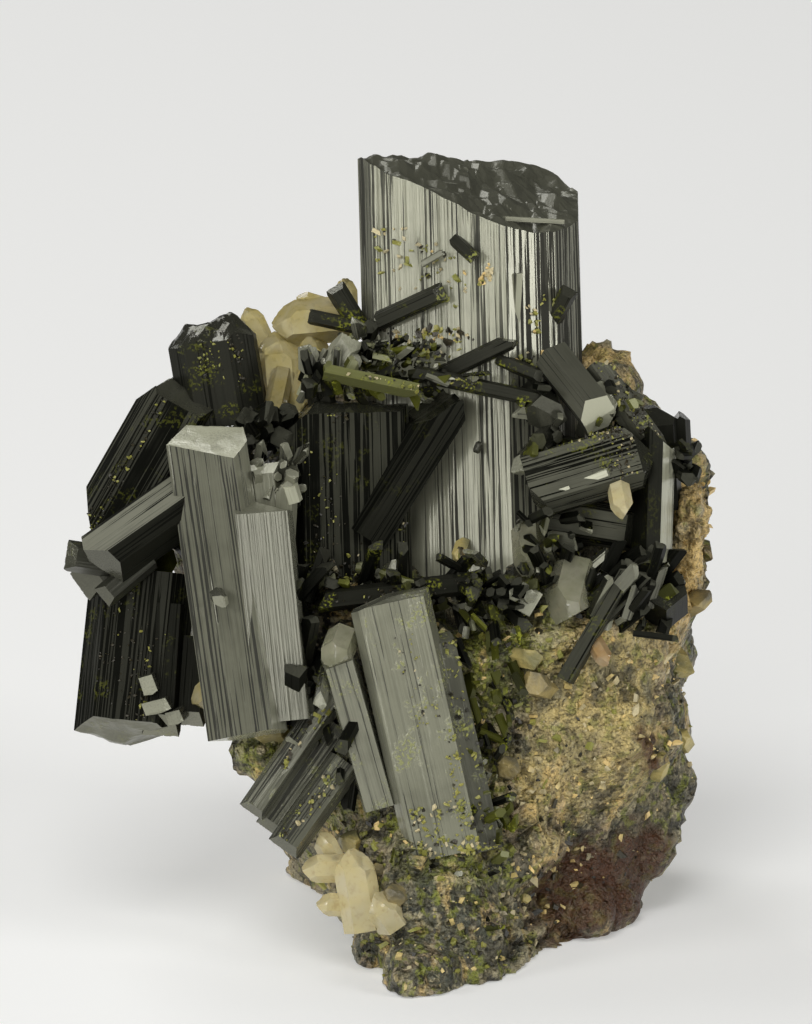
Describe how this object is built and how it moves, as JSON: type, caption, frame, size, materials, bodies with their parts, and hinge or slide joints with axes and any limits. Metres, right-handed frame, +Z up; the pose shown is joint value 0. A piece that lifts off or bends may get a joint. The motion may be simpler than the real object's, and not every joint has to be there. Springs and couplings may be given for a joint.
{
  "type": "epidote on quartz mineral specimen",
  "caption": "Hand specimen of dark striated epidote prisms and small clear quartz crystals grown on a rough quartz rock that is broken flat underneath.",
  "frame": {"origin": "middle of the flat broken face that the specimen rests on", "axes": "+Z up, +X to the right of the display side, +Y away from the display side"},
  "size_m": [0.0783, 0.0702, 0.0898],
  "materials": {
    "epidote": "glassy, striated along the prisms",
    "quartz": "clear to milky, glassy crystal faces",
    "quartz_rock": "rough, ochre and grey with green and rust-brown stains"
  },
  "bodies": {
    "root": {"quartz_matrix": "quartz_rock", "epidote_tower": "epidote", "epidote_dark_block": "epidote", "epidote_wedge": "epidote", "epidote_cross_bar": "epidote", "epidote_brown_blade": "epidote", "epidote_ledge_bar": "epidote", "epidote_left_blade": "epidote", "epidote_left_back": "epidote", "epidote_knob": "epidote", "epidote_arm": "epidote", "epidote_lower_left": "epidote", "epidote_front_slab": "epidote", "epidote_leaning": "epidote", "epidote_striped_prism": "epidote", "epidote_rough_blade": "epidote", "epidote_right_prism": "epidote", "epidote_right_blade": "epidote", "epidote_right_back": "epidote", "epidote_right_needles": "epidote", "epidote_right_chunk": "epidote", "quartz_back_left": "quartz", "quartz_bottom_left": "quartz", "quartz_right_point": "quartz", "quartz_grey": "quartz", "quartz_pair": "quartz", "quartz_front": "quartz", "quartz_left": "quartz", "quartz_lower_front": "quartz", "quartz_shard": "quartz", "quartz_orange_point": "quartz"}
  },
  "joints": []
}
